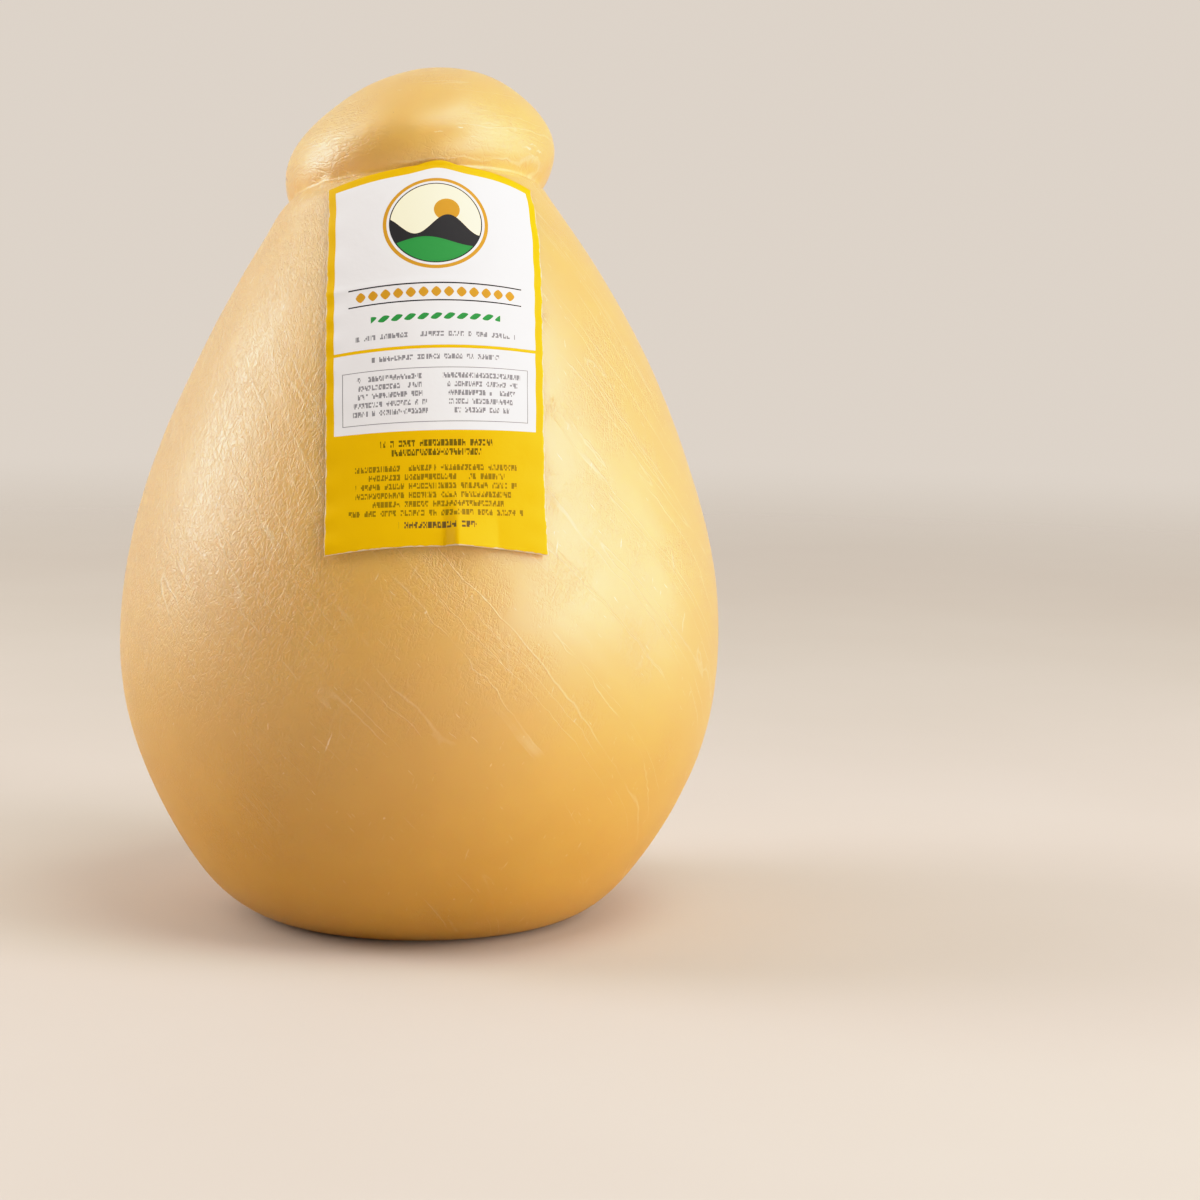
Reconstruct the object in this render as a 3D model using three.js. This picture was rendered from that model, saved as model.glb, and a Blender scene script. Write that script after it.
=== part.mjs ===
// Caciocavallo: a whole, uncut stretched-curd cheese, shaped like a plump pear.
// Its pinched-off head leans back over the neck crease, and a paper label is stuck on the front.
// Millimetres, +Z up. The origin is the middle of the flat spot it stands on. The label faces -Y.

import * as THREE from "three";

// Body: the flat spot it has settled on, the belly and the neck crease
const FOOT_RADIUS = 36;
const BELLY_RADIUS = 75.8;
const BELLY_HEIGHT = 71.5;
const NECK_RADIUS = 31.7;
const NECK_HEIGHT = 180.8;
const SHOULDER_SLOPE = THREE.MathUtils.degToRad(36); // from upright, where it meets the neck

// How far the outline keeps its direction at the ends of its curves
const FOOT_REACH = 18.3;
const BELLY_REACH_DOWN = 35.4;
const BELLY_REACH_UP = 34.8;
const NECK_REACH = 39.3;

// Head: a low dome whose widest ring overhangs the crease
const HEAD_RADIUS = 33.4;
const HEAD_MIDDLE = 7.6; // height of the widest ring above the crease
const DOME_HEIGHT = 23.9; // above the widest ring
const LIP_REACH = 4; // of the rolled edge between the crease and the widest ring
const DOME_ROUNDNESS = 0.46; // an ellipse is 0.55, and less is more pointed

// How the head sits on the body
const BACK_BEND_START = 100; // height where the shoulder begins to follow the head backwards
const SIDE_BEND_START = 161; // and sideways
const HEAD_SHIFT = -2.1; // of the neck, sideways off the body's axis
const LEAN_RIGHT = 0.14; // sideways, for each millimetre above the crease
const TIP_BACK = 0.24; // how steeply the crease rises towards the front
const TIP_LEFT = 0.063; // how steeply it falls towards the left

// Label: a paper rectangle with a hollow bottom edge, wrapped round the shoulder
const LABEL_WIDTH = 53.4;
const LABEL_HEIGHT = 97.4;
const LABEL_THICKNESS = 0.5;
const LABEL_GAP = 0.3; // clearance to the rind
const LABEL_TOP = 0.4; // below the crease, down the front of the body
const LABEL_ARCH = 1.9; // rise of the bottom edge from its corners to its middle
const LABEL_SLANT = 0.03; // rise of the bottom edge to the right, as it isn't quite square
const LABEL_SET = 0.2; // right of the middle of the front, at the bottom
const LABEL_TURN = 0.9; // further right at the top
const LABEL_BOW = 0.75; // share of a full cone's bow, as the neck tips back
const LIFT_LENGTH = 16; // stretch at the bottom where the paper comes away from the rind
const LIFT_HEIGHT = 1; // at the bottom edge
const FOLD_HEIGHT = 1.2; // of the upright fold at the bottom edge, above that
const FOLD_WIDTH = 4;
const FOLD_ACROSS = 4.5; // right of the label's middle

// Facets
const RINGS = { foot: 3, bowl: 14, shoulder: 20, lip: 4, dome: 12 };
const SIDES = 64;
const LABEL_COLUMNS = 16;
const LABEL_ROWS = 28;
const MERIDIAN_STEPS = 240;
const PROBE = 0.2; // step used to find the direction of the surface

const RIND = new THREE.MeshStandardMaterial({ color: 0xe0b45c, roughness: 0.45, metalness: 0 });
const LABEL_PAPER = new THREE.MeshStandardMaterial({ color: 0xe6b800, roughness: 0.5, metalness: 0 });

// Outline from the middle of the foot to the top of the head, as radius and height
const foot = new THREE.LineCurve(new THREE.Vector2(0, 0), new THREE.Vector2(FOOT_RADIUS, 0));
const bowl = new THREE.CubicBezierCurve(
  new THREE.Vector2(FOOT_RADIUS, 0),
  new THREE.Vector2(FOOT_RADIUS + FOOT_REACH, 0),
  new THREE.Vector2(BELLY_RADIUS, BELLY_HEIGHT - BELLY_REACH_DOWN),
  new THREE.Vector2(BELLY_RADIUS, BELLY_HEIGHT),
);
const shoulder = new THREE.CubicBezierCurve(
  new THREE.Vector2(BELLY_RADIUS, BELLY_HEIGHT),
  new THREE.Vector2(BELLY_RADIUS, BELLY_HEIGHT + BELLY_REACH_UP),
  new THREE.Vector2(
    NECK_RADIUS + NECK_REACH * Math.sin(SHOULDER_SLOPE),
    NECK_HEIGHT - NECK_REACH * Math.cos(SHOULDER_SLOPE),
  ),
  new THREE.Vector2(NECK_RADIUS, NECK_HEIGHT),
);
const lip = new THREE.QuadraticBezierCurve(
  new THREE.Vector2(NECK_RADIUS, NECK_HEIGHT),
  new THREE.Vector2(HEAD_RADIUS, NECK_HEIGHT + HEAD_MIDDLE - LIP_REACH),
  new THREE.Vector2(HEAD_RADIUS, NECK_HEIGHT + HEAD_MIDDLE),
);
const headTop = NECK_HEIGHT + HEAD_MIDDLE + DOME_HEIGHT;
const dome = new THREE.CubicBezierCurve(
  new THREE.Vector2(HEAD_RADIUS, NECK_HEIGHT + HEAD_MIDDLE),
  new THREE.Vector2(HEAD_RADIUS, headTop - DOME_HEIGHT * (1 - DOME_ROUNDNESS)),
  new THREE.Vector2(HEAD_RADIUS * DOME_ROUNDNESS, headTop),
  new THREE.Vector2(0, headTop),
);

// How much of the head's sideways set the shoulder follows at a height
function sideBend(height) {
  return THREE.MathUtils.smoothstep(height, SIDE_BEND_START, NECK_HEIGHT);
}

// Tips the head back and to one side, the shoulder following it more and more towards the neck
function lean(point) {
  const back = THREE.MathUtils.smoothstep(point.z, BACK_BEND_START, NECK_HEIGHT);
  const side = sideBend(point.z);
  const above = Math.max(point.z - NECK_HEIGHT, 0);
  return new THREE.Vector3(
    point.x + side * HEAD_SHIFT + above * LEAN_RIGHT,
    point.y + above * TIP_BACK,
    point.z + side * point.x * TIP_LEFT - back * point.y * TIP_BACK,
  );
}

// A copy of each vertex of a geometry, moved by a function of its place
function reshape(geometry, move) {
  const positions = geometry.getAttribute("position");
  const vertex = new THREE.Vector3();
  for (let i = 0; i < positions.count; i += 1) {
    const moved = move(vertex.fromBufferAttribute(positions, i));
    positions.setXYZ(i, moved.x, moved.y, moved.z);
  }
  geometry.computeVertexNormals();
  return geometry;
}

function makeCheese() {
  const outline = [
    ...foot.getSpacedPoints(RINGS.foot).slice(0, -1),
    ...bowl.getSpacedPoints(RINGS.bowl).slice(0, -1),
    ...shoulder.getSpacedPoints(RINGS.shoulder).slice(0, -1),
    ...lip.getSpacedPoints(RINGS.lip).slice(0, -1),
    ...dome.getSpacedPoints(RINGS.dome),
  ];
  const turned = new THREE.LatheGeometry(outline, SIDES);
  turned.rotateX(Math.PI / 2);
  const cheese = new THREE.Mesh(reshape(turned, lean), RIND);
  cheese.name = "cheese";
  return cheese;
}

// Point of the body's skin at a place on the shoulder curve, at an angle from the front
function skinPoint(place, angle) {
  const ring = shoulder.getPoint(place);
  return lean(new THREE.Vector3(ring.x * Math.sin(angle), -ring.x * Math.cos(angle), ring.y));
}

// Running length down the front of the body, from the crease, against the place on the shoulder curve
const frontLengths = [0];
for (let step = 1; step <= MERIDIAN_STEPS; step += 1) {
  const upper = skinPoint(1 - (step - 1) / MERIDIAN_STEPS, 0);
  const lower = skinPoint(1 - step / MERIDIAN_STEPS, 0);
  frontLengths.push(frontLengths[step - 1] + upper.distanceTo(lower));
}

function placeAtLength(length) {
  const step = Math.max(frontLengths.findIndex((reached) => reached > length), 1);
  const before = frontLengths[step - 1];
  const share = (length - before) / (frontLengths[step] - before);
  return 1 - (step - 1 + share) / MERIDIAN_STEPS;
}

// Point of the skin under a point of the flat label: across from its middle line, down from the crease.
// Flat paper bows down at its sides as it wraps a cone, the more the steeper the cone.
function wrapped(across, down) {
  const place = placeAtLength(down);
  const ring = shoulder.getPoint(place);
  const along = shoulder.getTangent(place);
  const bow = (LABEL_BOW * -along.x * across * across) / (2 * ring.x);
  const lowerPlace = placeAtLength(down + bow);
  const lowerRing = shoulder.getPoint(lowerPlace);
  const fromAxis = across - HEAD_SHIFT * sideBend(lowerRing.y);
  return skinPoint(lowerPlace, fromAxis / lowerRing.x);
}

// How far the back of the paper stands off the rind
function standOff(across, fromBottom) {
  const loose = 1 - THREE.MathUtils.smoothstep(fromBottom, 0, LIFT_LENGTH);
  const fold = Math.exp(-(((across - FOLD_ACROSS) / FOLD_WIDTH) ** 2));
  return LABEL_GAP + loose * (LIFT_HEIGHT + FOLD_HEIGHT * fold);
}

function makeLabel() {
  const sheet = new THREE.BoxGeometry(
    LABEL_WIDTH, LABEL_HEIGHT, LABEL_THICKNESS, LABEL_COLUMNS, LABEL_ROWS,
  );
  const middle = LABEL_TOP + LABEL_HEIGHT / 2;
  const label = new THREE.Mesh(reshape(sheet, (flat) => {
    const fromBottom = flat.y + LABEL_HEIGHT / 2;
    const lowness = 1 - fromBottom / LABEL_HEIGHT;
    const side = flat.x / (LABEL_WIDTH / 2);
    const rise = LABEL_ARCH * (1 - side * side) + LABEL_SLANT * flat.x;
    const down = middle - flat.y - rise * lowness;
    const across = flat.x + LABEL_SET + LABEL_TURN * (1 - lowness) ** 2;
    const rightward = wrapped(across + PROBE, down).sub(wrapped(across - PROBE, down));
    const downward = wrapped(across, down + PROBE).sub(wrapped(across, down - PROBE));
    const outward = downward.cross(rightward).normalize();
    const out = standOff(across, fromBottom) + LABEL_THICKNESS / 2 + flat.z;
    return wrapped(across, down).addScaledVector(outward, out);
  }), LABEL_PAPER);
  label.name = "label";
  return label;
}

const caciocavallo = new THREE.Group();
caciocavallo.add(makeCheese(), makeLabel());

export default caciocavallo;
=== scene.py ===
"""Looks of a whole caciocavallo: a pear-shaped cheese with a pinched-off head, and its paper label.

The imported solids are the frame. Each is replaced here by a fine mesh of the same form.
Sizes are in millimetres up to the point where a mesh is written, which is in metres.
Angles round the axis are in radians, from the front to the right.
"""
import logging
import math
from collections.abc import Callable
from dataclasses import dataclass, field
from enum import Enum
from functools import partial

import bmesh
import bpy
import numpy as np
from mathutils import Matrix, Vector


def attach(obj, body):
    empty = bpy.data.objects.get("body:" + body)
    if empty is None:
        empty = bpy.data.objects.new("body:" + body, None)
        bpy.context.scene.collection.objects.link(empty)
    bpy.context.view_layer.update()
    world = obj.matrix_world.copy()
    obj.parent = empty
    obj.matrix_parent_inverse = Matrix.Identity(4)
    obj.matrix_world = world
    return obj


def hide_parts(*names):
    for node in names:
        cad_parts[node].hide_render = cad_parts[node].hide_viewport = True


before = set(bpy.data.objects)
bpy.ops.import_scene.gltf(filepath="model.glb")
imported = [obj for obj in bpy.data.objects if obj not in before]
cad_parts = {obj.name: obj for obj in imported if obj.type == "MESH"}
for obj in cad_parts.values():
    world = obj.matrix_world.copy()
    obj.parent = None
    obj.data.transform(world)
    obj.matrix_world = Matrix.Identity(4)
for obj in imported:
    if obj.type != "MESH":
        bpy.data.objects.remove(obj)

MM = 0.001
SEED = 2390
BODY = "root"

# Blender's names of the node types that are used most
MATHS = "ShaderNodeMath"
VECTORS = "ShaderNodeVectorMath"
MIX = "ShaderNodeMix"
RANGE = "ShaderNodeMapRange"
NOISE = "ShaderNodeTexNoise"

# Numbers of the Mix node's colour sockets, as several of its sockets share a name
UNDER, OVER, MIXED = 6, 7, 2

# Noise crosses this value most often
NOISE_MIDDLE = 0.5

AddNode = Callable[..., bpy.types.Node]

log = logging.getLogger("caciocavallo")


def linear(hex_colour: str) -> tuple[float, float, float, float]:
    """Turn an sRGB hex colour to linear light.

    Args:
        hex_colour: six hex digits, with or without a leading hash.

    Returns:
        Red, green, blue and an alpha of one.
    """
    digits = hex_colour.lstrip("#")
    channels = [int(digits[i:i + 2], 16) / 255 for i in (0, 2, 4)]
    lit = [c / 12.92 if c <= 0.04045 else ((c + 0.055) / 1.055) ** 2.4 for c in channels]
    return (*lit, 1.0)


def smoothstep(values: np.ndarray, low: float, high: float) -> np.ndarray:
    """Rise smoothly from 0 at low to 1 at high."""
    share = np.clip((np.asarray(values, float) - low) / (high - low), 0, 1)
    return share * share * (3 - 2 * share)


def bell(values: np.ndarray, width: float) -> np.ndarray:
    """Bell curve of height one, width being where it has fallen to about a third."""
    return np.exp(-(np.asarray(values, float) / width) ** 2)


def add_node(tree: bpy.types.NodeTree, kind: str, inputs: dict | None = None,
             **settings: object) -> bpy.types.Node:
    """Add a shader node with its settings, its socket values and its links.

    Args:
        tree: the node tree that takes it.
        kind: Blender's name of the node's type.
        inputs: socket name or number, against a value, an output socket, or a node,
            whose first output is then used.
        settings: properties of the node.

    Returns:
        The new node.
    """
    node = tree.nodes.new(kind)
    for name, value in settings.items():
        setattr(node, name, value)
    for key, value in (inputs or {}).items():
        if isinstance(value, bpy.types.Node):
            value = value.outputs[0]
        if isinstance(value, bpy.types.NodeSocket):
            tree.links.new(value, node.inputs[key])
        else:
            node.inputs[key].default_value = value
    return node


def new_material(name: str) -> bpy.types.Material:
    """Make an empty node material.

    Args:
        name: of the material.

    Returns:
        The material.
    """
    material = bpy.data.materials.new(name)
    material.use_nodes = True
    material.node_tree.nodes.clear()
    return material


def new_object(name: str, mesh: bpy.types.Mesh) -> bpy.types.Object:
    """Put a mesh in the scene as an object at the origin.

    Args:
        name: of the object.
        mesh: with the piece's place in it.

    Returns:
        The object.
    """
    piece = bpy.data.objects.new(name, mesh)
    bpy.context.scene.collection.objects.link(piece)
    return piece


def read_points(mesh: bpy.types.Mesh, what: str = "co") -> np.ndarray:
    """Read a three-number property of every vertex.

    Args:
        mesh: that has the vertices.
        what: name of the property, such as the place or the normal.

    Returns:
        One row for each vertex.
    """
    values = np.empty(len(mesh.vertices) * 3, np.float32)
    mesh.vertices.foreach_get(what, values)
    return values.reshape(-1, 3).astype(float)


def write_points(mesh: bpy.types.Mesh, points: np.ndarray) -> None:
    """Move every vertex to its row of an array."""
    mesh.vertices.foreach_set("co", points.astype(np.float32).ravel())
    mesh.update()


def bezier(corners: list[tuple[float, float]], steps: int) -> np.ndarray:
    """Points of a Bezier curve of any order.

    Args:
        corners: its control points, as radius and height.
        steps: number of points.

    Returns:
        One row for each point.
    """
    share = np.linspace(0, 1, steps)[:, None]
    order = len(corners) - 1
    rows = [
        math.comb(order, i) * share ** i * (1 - share) ** (order - i) * np.array(corner, float)
        for i, corner in enumerate(corners)
    ]
    return np.sum(rows, axis=0)


@dataclass(frozen=True)
class CheeseForm:
    """The cheese's form: a turned outline whose head is tipped back and to one side."""

    foot_radius: float = 36.0
    belly_radius: float = 75.8
    belly_height: float = 71.5
    neck_radius: float = 31.7
    neck_height: float = 180.8
    shoulder_slope: float = math.radians(36)
    foot_reach: float = 18.3
    belly_reach_down: float = 35.4
    belly_reach_up: float = 34.8
    neck_reach: float = 39.3
    head_radius: float = 33.4
    head_middle: float = 7.6
    dome_height: float = 23.9
    lip_reach: float = 4.0
    dome_roundness: float = 0.46
    back_bend_start: float = 100.0
    side_bend_start: float = 161.0
    head_shift: float = -2.1
    lean_right: float = 0.14
    tip_back: float = 0.24
    tip_left: float = 0.063
    curve_steps: int = 400

    def foot(self) -> np.ndarray:
        """Outline of the flat spot, from the axis to its rim."""
        return bezier([(0, 0), (self.foot_radius, 0)], self.curve_steps)

    def bowl(self) -> np.ndarray:
        """Outline from the foot's rim to the belly.

        Returns:
            Radius and height of its points.
        """
        return bezier([
            (self.foot_radius, 0),
            (self.foot_radius + self.foot_reach, 0),
            (self.belly_radius, self.belly_height - self.belly_reach_down),
            (self.belly_radius, self.belly_height),
        ], self.curve_steps)

    def shoulder(self) -> np.ndarray:
        """Outline from the belly to the neck crease.

        Returns:
            Radius and height of its points.
        """
        return bezier([
            (self.belly_radius, self.belly_height),
            (self.belly_radius, self.belly_height + self.belly_reach_up),
            (
                self.neck_radius + self.neck_reach * math.sin(self.shoulder_slope),
                self.neck_height - self.neck_reach * math.cos(self.shoulder_slope),
            ),
            (self.neck_radius, self.neck_height),
        ], self.curve_steps)

    def head(self) -> np.ndarray:
        """Outline of the head.

        Returns:
            Radius and height of points from the crease, over the rolled lip, to the top of the dome.
        """
        middle = self.neck_height + self.head_middle
        top = middle + self.dome_height
        lip = bezier([
            (self.neck_radius, self.neck_height),
            (self.head_radius, middle - self.lip_reach),
            (self.head_radius, middle),
        ], self.curve_steps)
        dome = bezier([
            (self.head_radius, middle),
            (self.head_radius, top - self.dome_height * (1 - self.dome_roundness)),
            (self.head_radius * self.dome_roundness, top),
            (0, top),
        ], self.curve_steps)
        return np.vstack([lip, dome[1:]])

    def side_bend(self, height: np.ndarray) -> np.ndarray:
        """How much of the head's sideways set the shoulder follows at a height."""
        return smoothstep(height, self.side_bend_start, self.neck_height)

    def lean(self, points: np.ndarray) -> np.ndarray:
        """Tip turned points back and to one side, more and more towards the neck.

        Args:
            points: places on the turned form, before it leans.

        Returns:
            The same places on the real form.
        """
        x, y, z = points.T
        back = smoothstep(z, self.back_bend_start, self.neck_height)
        side = self.side_bend(z)
        above = np.maximum(z - self.neck_height, 0)
        return np.column_stack([
            x + side * self.head_shift + above * self.lean_right,
            y + above * self.tip_back,
            z + side * x * self.tip_left - back * y * self.tip_back,
        ])


class Swell:
    """Smooth unevenness: a sum of seeded waves through space."""

    def __init__(self, rng: np.random.Generator, count: int, lengths: tuple[float, float],
                 height: float) -> None:
        """Draw the waves.

        Args:
            rng: seeded source of the draws.
            count: number of waves.
            lengths: shortest and longest wave.
            height: typical height of their sum.
        """
        directions = rng.normal(size=(count, 3))
        directions /= np.linalg.norm(directions, axis=1)[:, None]
        lengths_drawn = rng.uniform(*lengths, count)
        self.waves = directions * (2 * math.pi / lengths_drawn)[:, None]
        self.phases = rng.uniform(0, 2 * math.pi, count)
        self.height = height * math.sqrt(2 / count)

    def at(self, points: np.ndarray) -> np.ndarray:
        """Height of the unevenness at each point."""
        return self.height * np.cos(points @ self.waves.T + self.phases).sum(axis=1)


@dataclass(frozen=True)
class Fold:
    """A long shallow fold where the curd was stretched, running down and round the body."""

    angle: float
    height: float
    length: float
    depth: float
    width: float
    wander: float


@dataclass(frozen=True)
class Bump:
    """A smooth bump near the neck crease, or a hollow where its height is negative."""

    height: float
    angle: float
    spread: float
    above_crease: float
    width: float

    def at(self, angle: np.ndarray, off: np.ndarray) -> np.ndarray:
        """Height of the bump at angles round the axis and distances above the crease."""
        return self.height * bell(angle - self.angle, self.spread) * bell(off - self.above_crease, self.width)


@dataclass
class RindRelief:
    """Everything that keeps the rind from being smooth, as heights along its normal."""

    form: CheeseForm
    swell_count: int = 26
    swell_length: tuple[float, float] = (34.0, 95.0)
    swell_height: float = 0.26
    swell_start: tuple[float, float] = (1.0, 16.0)
    head_swell_count: int = 20
    head_swell_length: tuple[float, float] = (15.0, 32.0)
    head_swell_height: float = 0.1
    head_blend: float = 8.0
    # The curd is stretched at this slant, which holds at a share of the belly's radius
    stretch_slant: float = math.radians(40)
    slant_radius: float = 0.85
    fold_count: int = 60
    fold_height: tuple[float, float] = (20.0, 172.0)
    fold_length: tuple[float, float] = (25.0, 80.0)
    fold_depth: tuple[float, float] = (0.02, 0.06)
    fold_width: tuple[float, float] = (1.4, 2.6)
    fold_wander: float = 0.012
    fold_wave: float = 7.0
    # A fold fades out over a third of its length, and its raised sides are two widths off
    fold_taper: float = 3.0
    side_height: float = 0.45
    side_widths: float = 2.0
    pucker_count: int = 16
    pucker_turns: tuple[int, int] = (9, 44)
    pucker_height: float = 0.16
    pucker_sum: float = 2.8
    pucker_reach: float = 4.0
    pucker_at_front: float = 0.25
    pucker_sides: tuple[float, float] = (0.9, 2.0)
    undercut_depth: float = 0.8
    undercut_reach: float = 3.2
    rim_reach: float = 0.45
    soft_share: float = 0.7
    soft_spread: float = 0.4
    roll: Bump = Bump(height=0.8, angle=-1.05, spread=0.42, above_crease=-4.5, width=3.2)
    rim: Bump = Bump(height=0.3, angle=0.85, spread=0.5, above_crease=-1.0, width=0.9)
    pinch: Bump = Bump(height=0.6, angle=-0.8, spread=0.06, above_crease=-0.4, width=1.1)
    dent: Bump = Bump(height=-0.16, angle=0.68, spread=0.03, above_crease=9.0, width=6.0)
    pit_count: int = 26
    pit_height: tuple[float, float] = (12.0, 170.0)
    pit_size: tuple[float, float] = (0.5, 1.1)
    pit_depth: float = 0.22
    pit_width: float = 1.1
    pit_reach: float = 6.0
    foot_start: tuple[float, float] = (0.5, 6.0)
    swell: Swell = field(init=False)
    head_swell: Swell = field(init=False)
    folds: list[Fold] = field(init=False)
    turns: np.ndarray = field(init=False)
    turn_phases: np.ndarray = field(init=False)
    pits: np.ndarray = field(init=False)

    def __post_init__(self) -> None:
        """Draw the seeded waves, folds, puckers and pits."""
        rng = np.random.default_rng(SEED)
        self.swell = Swell(rng, self.swell_count, self.swell_length, self.swell_height)
        self.head_swell = Swell(rng, self.head_swell_count, self.head_swell_length, self.head_swell_height)
        self.folds = [self.draw_fold(rng) for _ in range(self.fold_count)]
        self.turns = rng.integers(*self.pucker_turns, self.pucker_count)
        self.turn_phases = rng.uniform(0, 2 * math.pi, self.pucker_count)
        self.pits = np.column_stack([
            rng.uniform(-math.pi, math.pi, self.pit_count),
            rng.uniform(*self.pit_height, self.pit_count),
            rng.uniform(*self.pit_size, self.pit_count),
        ])

    def draw_fold(self, rng: np.random.Generator) -> Fold:
        """Draw one fold of the body.

        Args:
            rng: seeded source of the draws.

        Returns:
            The fold.
        """
        return Fold(
            angle=rng.uniform(-math.pi, math.pi),
            height=rng.uniform(*self.fold_height),
            length=rng.uniform(*self.fold_length),
            depth=rng.uniform(*self.fold_depth),
            width=rng.uniform(*self.fold_width),
            wander=rng.uniform(0, 2 * math.pi),
        )

    def twist(self, height: np.ndarray) -> np.ndarray:
        """Angle through which the stretched curd winds round, from the belly to a height."""
        slope = math.tan(self.stretch_slant) / (self.slant_radius * self.form.belly_radius)
        return -slope * (np.asarray(height, float) - self.form.belly_height)

    def fold_relief(self, angle: np.ndarray, height: np.ndarray, radius: np.ndarray) -> np.ndarray:
        """Shape of all folds, each a groove between two slightly raised sides.

        Args:
            angle: round the axis.
            height: above the floor.
            radius: from the axis.

        Returns:
            Height of the relief.
        """
        relief = np.zeros_like(angle)
        for fold in self.folds:
            down = fold.height - height
            near = np.abs(down) < fold.length / 2
            wander = self.fold_wander * np.sin(down[near] / self.fold_wave + fold.wander)
            path = fold.angle + self.twist(height[near]) - self.twist(fold.height) + wander
            gap = (angle[near] - path + math.pi) % (2 * math.pi) - math.pi
            across = gap * radius[near] * math.cos(self.stretch_slant)
            ends = smoothstep(fold.length / 2 - np.abs(down[near]), 0, fold.length / self.fold_taper)
            sides = self.side_height * bell(np.abs(across) - self.side_widths * fold.width, fold.width)
            relief[near] += ends * fold.depth * (sides - bell(across, fold.width))
        return relief

    def neck_relief(self, angle: np.ndarray, off: np.ndarray) -> np.ndarray:
        """Shape of the crease: the head tucks in above a sharp rim of the shoulder, softer at the roll.

        Args:
            angle: round the axis.
            off: height above the crease.

        Returns:
            Height of the relief.
        """
        turns = np.cos(angle[:, None] * self.turns + self.turn_phases).sum(axis=1) / self.pucker_sum
        behind = smoothstep(np.abs(angle), *self.pucker_sides)
        share = self.pucker_at_front + (1 - self.pucker_at_front) * behind
        puckers = self.pucker_height * turns * share * np.exp(-np.abs(off) / self.pucker_reach)
        soft = 1 - self.soft_share * bell(angle - self.roll.angle, self.soft_spread)
        reach = np.where(off > 0, self.undercut_reach, self.rim_reach)
        tuck = self.undercut_depth * soft * np.exp(-np.abs(off) / reach)
        bumps = sum(bump.at(angle, off) for bump in (self.rim, self.pinch, self.dent))
        return puckers - tuck + bumps

    def pit_relief(self, angle: np.ndarray, height: np.ndarray, radius: np.ndarray) -> np.ndarray:
        """Shape of the small pits scattered over the body.

        Args:
            angle: round the axis.
            height: above the floor.
            radius: from the axis.

        Returns:
            Height of the relief.
        """
        relief = np.zeros_like(angle)
        for pit_angle, pit_height, size in self.pits:
            near = np.abs(height - pit_height) < self.pit_reach
            across = (angle[near] - pit_angle) * radius[near]
            distance = np.hypot(across, height[near] - pit_height)
            relief[near] -= self.pit_depth * bell(distance, self.pit_width * size)
        return relief

    def broad(self, turned: np.ndarray) -> np.ndarray:
        """Relief that a label stuck on the skin follows.

        Args:
            turned: points of the turned form.

        Returns:
            Height of the large swells, and of the roll of skin left of the neck.
        """
        angle = np.arctan2(turned[:, 0], -turned[:, 1])
        off = turned[:, 2] - self.form.neck_height
        return self.swell.at(turned) * smoothstep(turned[:, 2], *self.swell_start) + self.roll.at(angle, off)

    def at(self, turned: np.ndarray) -> np.ndarray:
        """Add up the whole relief.

        Args:
            turned: points of the turned form.

        Returns:
            Height of the relief at each point.
        """
        angle = np.arctan2(turned[:, 0], -turned[:, 1])
        height = turned[:, 2]
        radius = np.hypot(turned[:, 0], turned[:, 1])
        off = height - self.form.neck_height
        head = smoothstep(off, 0, self.head_blend)
        off_foot = smoothstep(height, *self.foot_start)
        return (
            self.broad(turned)
            + head * self.head_swell.at(turned)
            + (1 - head) * off_foot * self.fold_relief(angle, height, radius)
            + self.neck_relief(angle, off)
            + off_foot * self.pit_relief(angle, height, radius)
        )


class Run(Enum):
    """The ways in which marks on the rind run, each against the attribute that follows it."""

    ALONG = "fibre"
    ACROSS = "weft"


Places = dict[Run, bpy.types.NodeSocket]


@dataclass(frozen=True)
class Wrinkle:
    """One family of wrinkles: thin crests or grooves that wind, but run more one way than the other.

    A groove's height is negative. The tint shows by a share in the middle of the wrinkle; a groove's dark
    tint is painted shade.
    The family shows only where the rind's patchiness is above a level, so that a high level makes it rare.
    The level rises to the right by a slope for each metre, so that the two flanks differ.
    """

    run: Run
    size: float
    stretch: float
    width: float
    height: float
    tint: str
    share: float
    level: float
    slope: float
    winding: float = 0.6
    steepness: float = 0.4
    fade: float = 0.1

    def crests(self, node: AddNode, places: Places, patch: bpy.types.Node,
               right: bpy.types.NodeSocket) -> bpy.types.Node:
        """Make the node that is one in the middle of a wrinkle and zero off it.

        Args:
            node: adds a node to the material.
            places: place on the rind in millimetres, the third part being the way of the run.
            patch: the rind's patchiness.
            right: distance to the right of the axis, in metres.

        Returns:
            The node.
        """
        scale = (1 / self.size, 1 / self.size, 1 / (self.size * self.stretch))
        place = node(VECTORS, {0: places[self.run], 1: scale}, operation="MULTIPLY")
        cloud = node(NOISE, {
            "Vector": place, "Scale": 1.0, "Detail": 1.0, "Roughness": 0.5, "Distortion": self.winding,
        }).outputs["Fac"]
        rise = node(MATHS, {0: cloud, 1: NOISE_MIDDLE}, operation="PINGPONG")
        crest = node(RANGE, {
            "Value": rise,
            "From Min": NOISE_MIDDLE - self.steepness * self.width / self.size, "From Max": NOISE_MIDDLE,
        }, interpolation_type="SMOOTHSTEP")
        local = node(MATHS, {0: right, 1: -self.slope, 2: patch}, operation="MULTIPLY_ADD")
        shown = node(RANGE, {
            "Value": local, "From Min": self.level - self.fade, "From Max": self.level + self.fade,
        }, interpolation_type="SMOOTHSTEP")
        return node(MATHS, {0: crest, 1: shown}, operation="MULTIPLY")


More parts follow.
